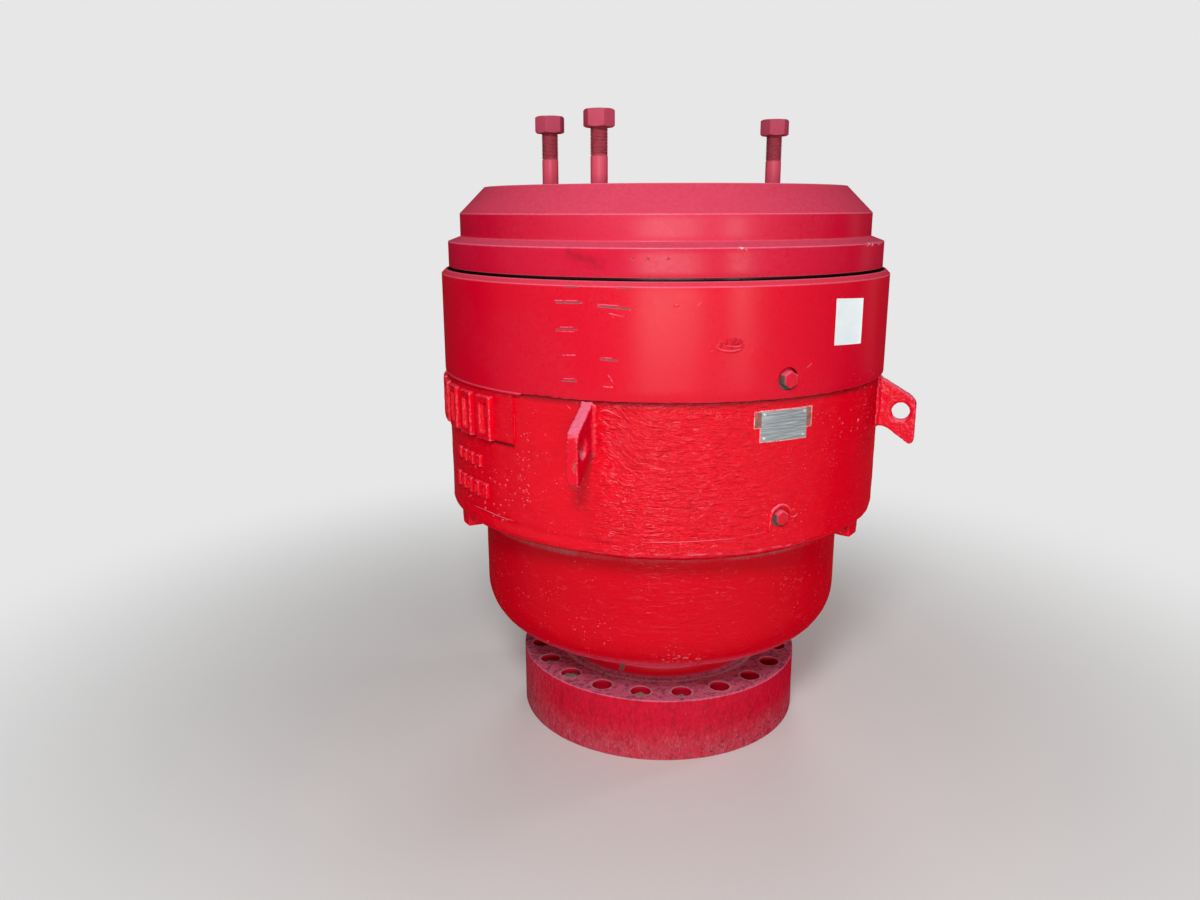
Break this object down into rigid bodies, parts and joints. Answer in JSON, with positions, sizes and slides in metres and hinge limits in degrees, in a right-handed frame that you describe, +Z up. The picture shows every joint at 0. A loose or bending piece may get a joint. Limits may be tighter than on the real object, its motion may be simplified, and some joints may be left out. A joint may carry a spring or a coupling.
{
  "type": "annular blowout preventer",
  "caption": "Squat round pressure housing with a screwed stepped head, through bore with a rubber packing ring, lifting lugs and a bolted bottom flange.",
  "frame": {"origin": "centre of the bottom flange's lower face", "axes": "+Z up along the bore, -Y towards the side with the two plugged ports, +X to its right"},
  "size_m": [1.2544, 1.2544, 1.5955],
  "materials": {
    "body_paint": "gloss red enamel over casting and machined steel",
    "head_paint": "gloss red enamel, slightly dusty",
    "flange_paint": "dusty faded red enamel",
    "stud_paint": "red enamel, brushed on",
    "nut_paint": "dull red enamel",
    "bare_steel": "machined, oiled",
    "insert_steel": "forged steel",
    "rubber": "moulded rubber",
    "plate_metal": "dull"
  },
  "bodies": {
    "root": {"body_casting": "body_paint", "bottom_flange": "flange_paint", "head": "head_paint", "wear_plate": "bare_steel", "packing_rubber": "rubber", "packing_inserts": "insert_steel", "piston": "bare_steel", "opening_chamber_ring": "bare_steel", "body_sleeve": "bare_steel", "lifting_lug_front": "body_paint", "lifting_lug_right": "body_paint", "lifting_lug_back": "body_paint", "lifting_lug_left": "body_paint", "stud_1": "stud_paint", "stud_2": "stud_paint", "stud_3": "stud_paint", "nut_1": "nut_paint", "nut_2": "nut_paint", "nut_3": "nut_paint", "upper_port_plug": "body_paint", "lower_port_plug": "body_paint", "nameplate": "plate_metal", "raised_blocks_upper": "body_paint", "raised_blocks_middle": "body_paint", "raised_blocks_lower": "body_paint"}
  },
  "joints": []
}
